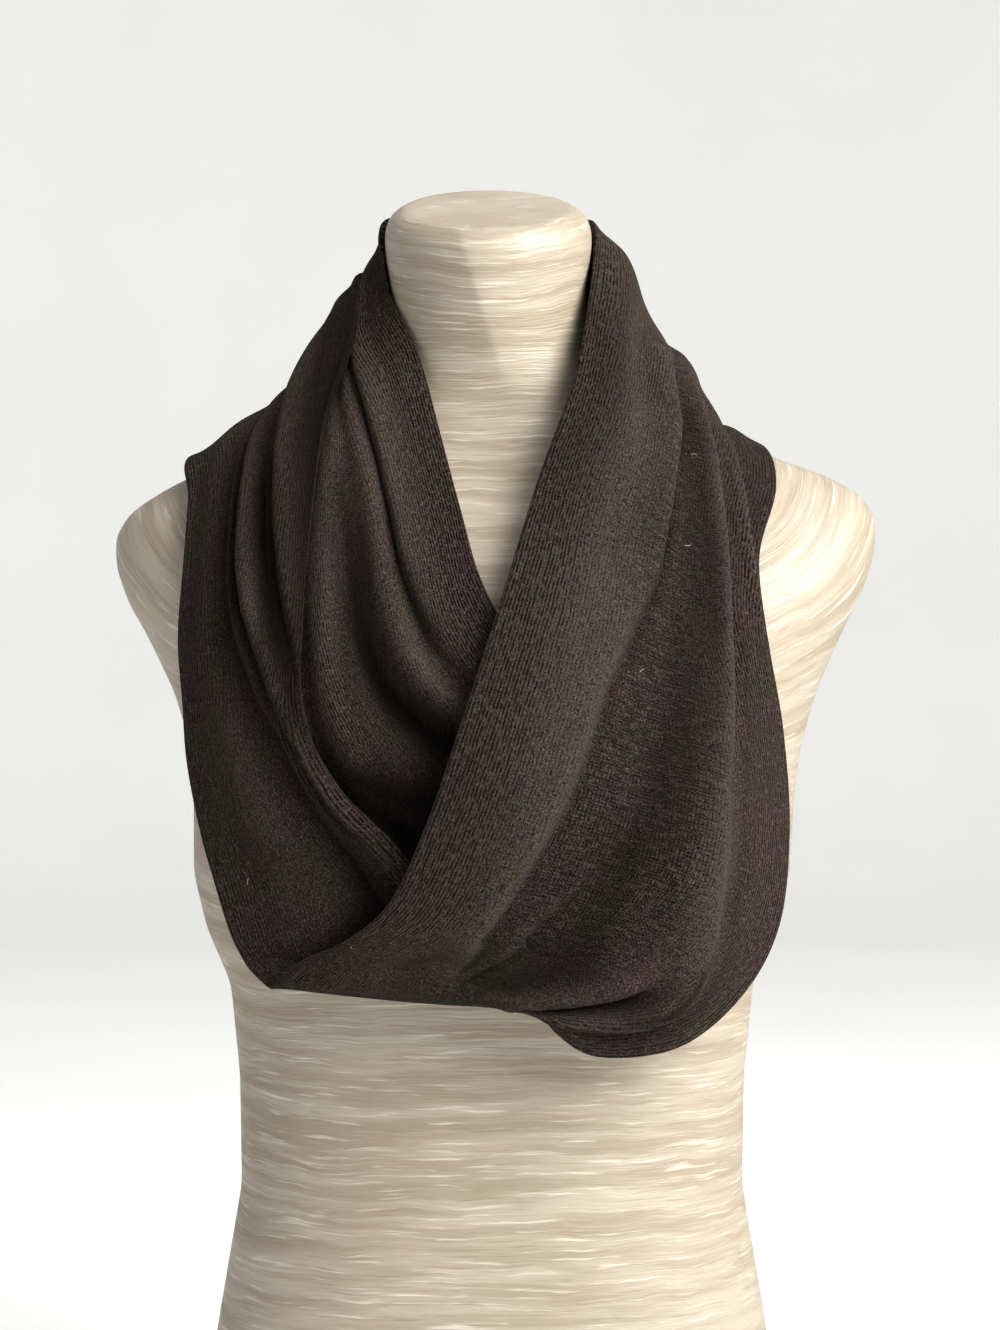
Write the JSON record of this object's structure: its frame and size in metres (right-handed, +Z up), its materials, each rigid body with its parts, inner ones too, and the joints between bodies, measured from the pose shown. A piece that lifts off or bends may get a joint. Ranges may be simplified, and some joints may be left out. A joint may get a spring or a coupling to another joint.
{
  "type": "infinity scarf on dress form",
  "caption": "Knitted loop scarf wound twice round the neck of a limbless, flat-based dress form, draped in soft crossing folds over the chest.",
  "frame": {"origin": "middle of the dress form's flat base, on the surface it stands on", "axes": "+Z up the form, +X to the right of a viewer who faces the front, -Y out of the chest"},
  "size_m": [0.416, 0.2682, 0.7381],
  "materials": {
    "form": "pale fibrous paper, low sheen",
    "knit": "fine brushed plain knit"
  },
  "bodies": {
    "root": {"dress_form": "form", "scarf_front_right": "knit", "scarf_front_left": "knit", "scarf_front_inner": "knit", "scarf_back_right_outer": "knit", "scarf_back_right_inner": "knit", "scarf_back_left_outer": "knit", "scarf_back_left_inner": "knit"}
  },
  "joints": []
}
